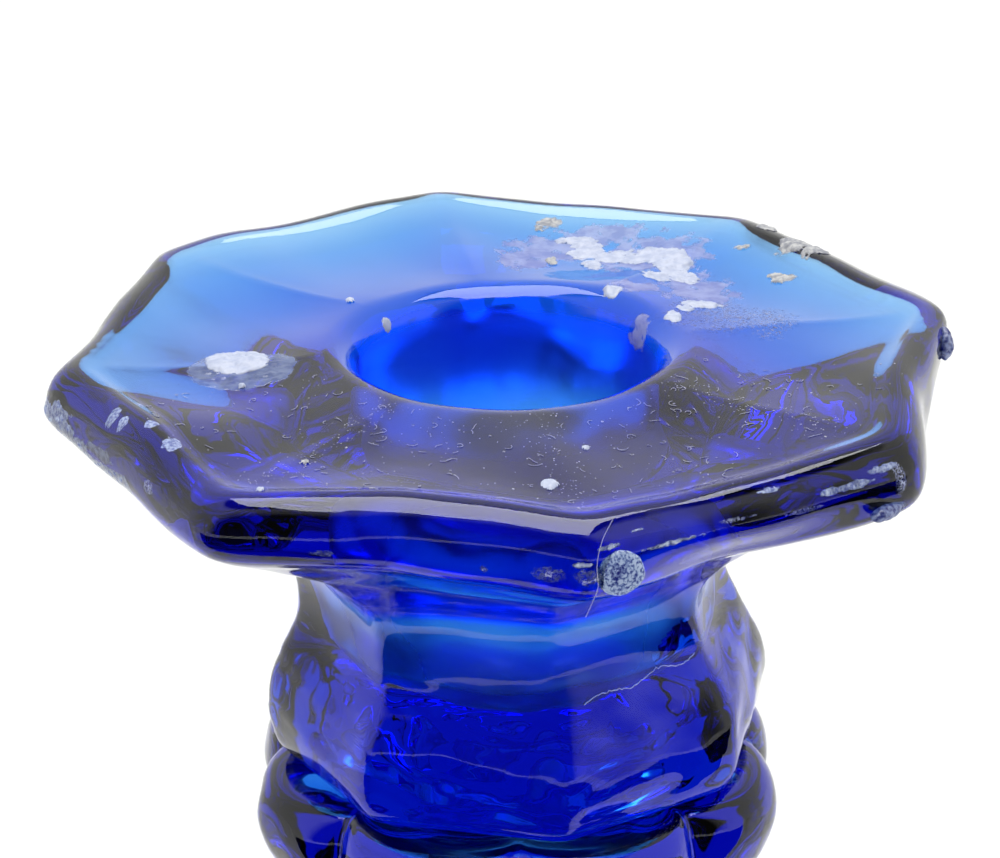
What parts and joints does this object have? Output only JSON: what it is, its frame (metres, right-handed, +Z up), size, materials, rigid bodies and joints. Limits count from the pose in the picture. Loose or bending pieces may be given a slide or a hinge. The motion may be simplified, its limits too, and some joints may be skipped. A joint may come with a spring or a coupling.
{
  "type": "candlestick",
  "caption": "Deep blue pressed-glass candlestick: octagonal drip pan over a round candle socket, a lobed knop, a baluster stem and a spreading octagonal foot, hollow beneath.",
  "frame": {"origin": "middle of the face that it stands on", "axes": "+Z up along the stem and out of the candle hole; flats of the octagonal pan and foot face along X and Y"},
  "size_m": [0.0924, 0.0924, 0.195],
  "materials": {
    "blue_glass": "fire polished, clear, with a blister, small lumps, frosted marks and a scratch"
  },
  "bodies": {
    "root": {"socket": "blue_glass", "upper_wafer": "blue_glass", "stem": "blue_glass", "lower_wafer": "blue_glass", "foot": "blue_glass"}
  },
  "joints": []
}
